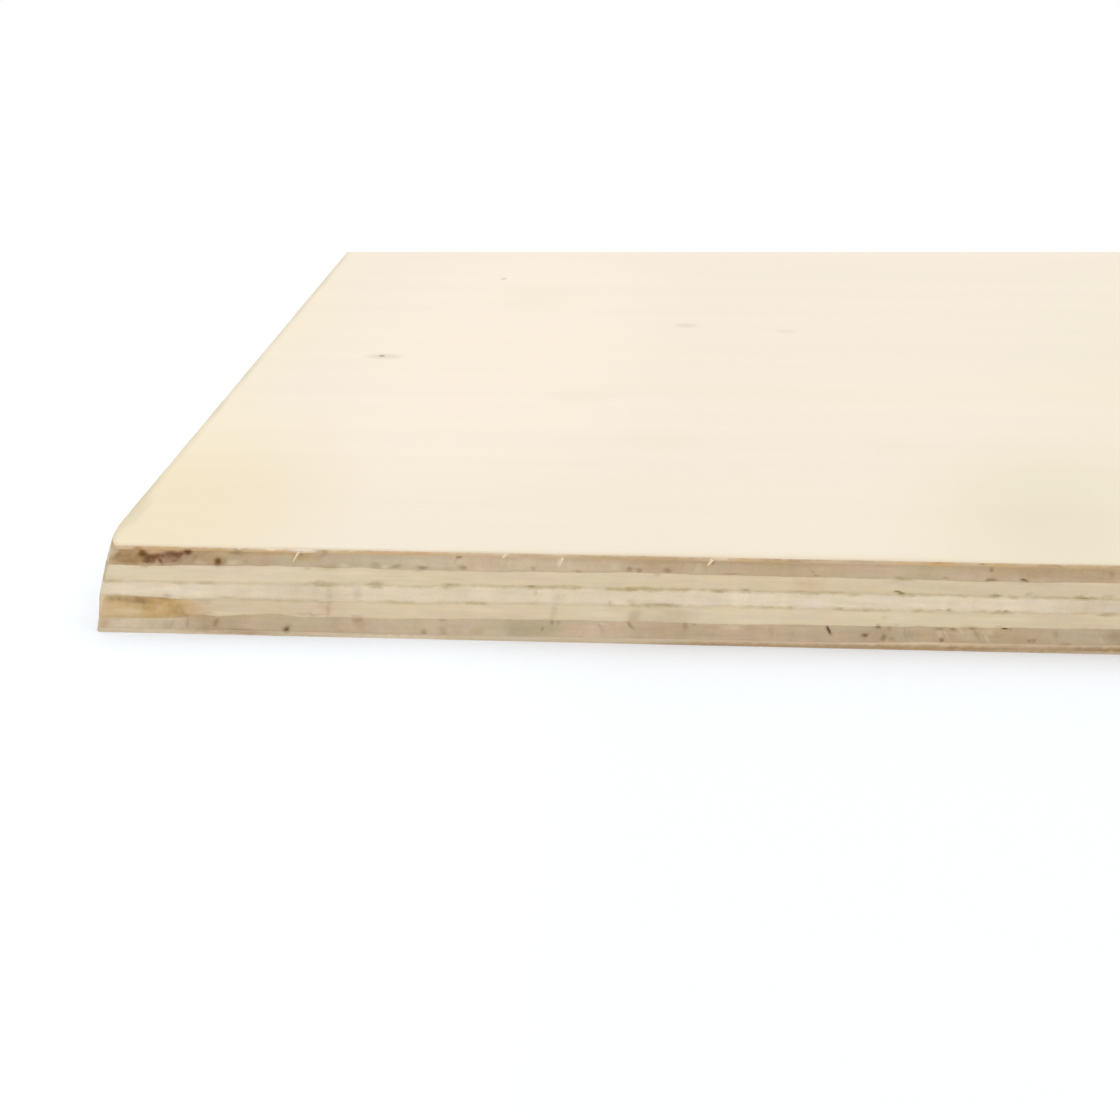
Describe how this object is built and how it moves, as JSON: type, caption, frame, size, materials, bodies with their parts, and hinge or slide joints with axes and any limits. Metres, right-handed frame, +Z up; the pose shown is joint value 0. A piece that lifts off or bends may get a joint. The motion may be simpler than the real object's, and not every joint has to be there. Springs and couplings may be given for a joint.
{
  "type": "plywood sheet",
  "caption": "Flat rectangular sheet of 12 mm plywood with a pale smooth face and layered veneers showing on its sawn edges.",
  "frame": {"origin": "centre of the sheet's underside, halfway along its length and width", "axes": "+X along the sheet's length and the grain of the face, from the knocked end; +Y across the sheet; +Z up through the thickness, out of the face"},
  "size_m": [2.44, 1.22, 0.012],
  "materials": {
    "face_veneer_wood": "sanded smooth, unfinished, pale cream rotary-cut veneer",
    "crossband_wood": "rough sawn end grain, greyish brown",
    "core_wood": "sawn veneer edge, pale tan",
    "back_veneer_wood": "sanded, unfinished, light brown rotary-cut veneer"
  },
  "bodies": {
    "root": {"face_veneer": "face_veneer_wood", "upper_crossband": "crossband_wood", "upper_core_ply": "core_wood", "centre_ply": "core_wood", "lower_core_ply": "core_wood", "lower_crossband": "crossband_wood", "back_veneer": "back_veneer_wood"}
  },
  "joints": []
}
